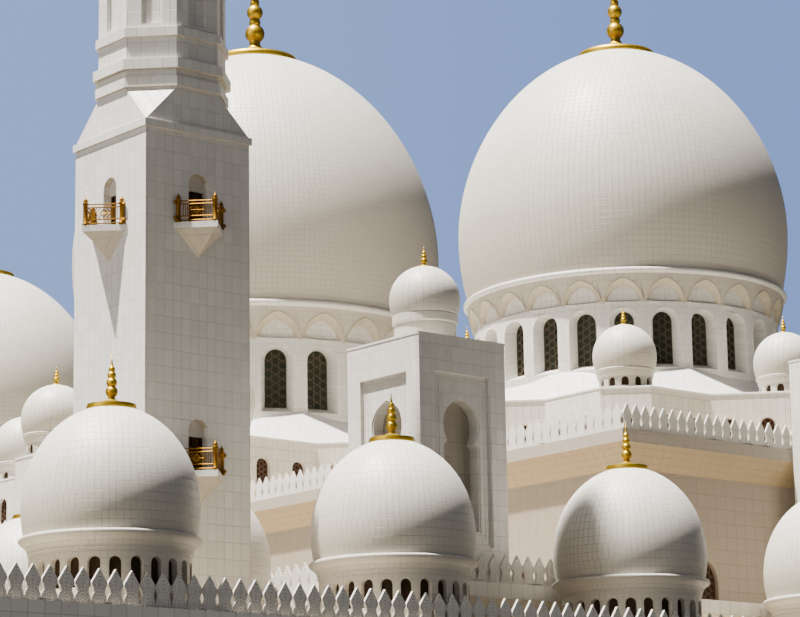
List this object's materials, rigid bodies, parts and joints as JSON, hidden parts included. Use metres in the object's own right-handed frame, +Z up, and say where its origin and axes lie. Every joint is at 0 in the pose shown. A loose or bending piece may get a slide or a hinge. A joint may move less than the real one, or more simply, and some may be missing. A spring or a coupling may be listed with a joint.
{
  "type": "mosque building, 1:10 scale model",
  "caption": "White marble mosque: hall with three great domes on star tiers, small domes, drum windows, towers, arcades and minarets, as a scale model.",
  "frame": {"origin": "on the underside of the ground floor, on the axis of the middle great dome", "axes": "-X towards the courtyard front, +Y towards the left end of the hall seen from the courtyard, +Z up"},
  "size_m": [12.15, 17.08, 10.6],
  "materials": {
    "wall_marble": "honed white marble slabs with fine joints",
    "dome_marble": "honed white marble tiles laid in rings",
    "roof_marble": "plain white marble roof slabs",
    "floor_stone": "pale stone floor",
    "gilded_metal": "polished gilding",
    "dark_glass": "dark glass"
  },
  "bodies": {
    "root": {"arcade_roof_and_domes": "dome_marble", "court_arcade_parapet": "wall_marble", "court_arcade_wall": "wall_marble", "ground_floor": "floor_stone", "hall_back_wall": "wall_marble", "hall_cornice": "wall_marble", "hall_front_wall": "wall_marble", "hall_left_wall": "wall_marble", "hall_parapet": "wall_marble", "hall_right_wall": "wall_marble", "hall_roof": "roof_marble", "hall_window_glass": "dark_glass", "left_arcade_court_wall": "wall_marble", "left_arcade_end_wall": "wall_marble", "left_arcade_outer_wall": "wall_marble", "left_arcade_parapet": "wall_marble", "left_dome_finial": "gilded_metal", "left_drum": "wall_marble", "left_drum_glass": "dark_glass", "left_front_tower": "wall_marble", "left_great_dome": "dome_marble", "left_lower_hall_end": "wall_marble", "left_lower_hall_wall": "wall_marble", "left_minaret_finial": "gilded_metal", "left_minaret_octagon": "wall_marble", "left_minaret_round_stage": "wall_marble", "left_minaret_shaft": "wall_marble", "left_side_tower": "wall_marble", "left_star_tier": "wall_marble", "left_tier_roof": "roof_marble", "lower_hall_front_wall": "wall_marble", "lower_hall_parapet": "wall_marble", "lower_hall_roof": "roof_marble", "middle_dome_finial": "gilded_metal", "middle_drum": "wall_marble", "middle_drum_glass": "dark_glass", "middle_great_dome": "dome_marble", "middle_star_tier": "wall_marble", "middle_tier_roof": "roof_marble", "right_arcade_court_wall": "wall_marble", "right_arcade_end_wall": "wall_marble", "right_arcade_outer_wall": "wall_marble", "right_arcade_parapet": "wall_marble", "right_dome_finial": "gilded_metal", "right_drum": "wall_marble", "right_drum_glass": "dark_glass", "right_front_tower": "wall_marble", "right_great_dome": "dome_marble", "right_lower_hall_end": "wall_marble", "right_lower_hall_wall": "wall_marble", "right_minaret_finial": "gilded_metal", "right_minaret_octagon": "wall_marble", "right_minaret_round_stage": "wall_marble", "right_minaret_shaft": "wall_marble", "right_side_tower": "wall_marble", "right_star_tier": "wall_marble", "right_tier_roof": "roof_marble"}
  },
  "joints": []
}
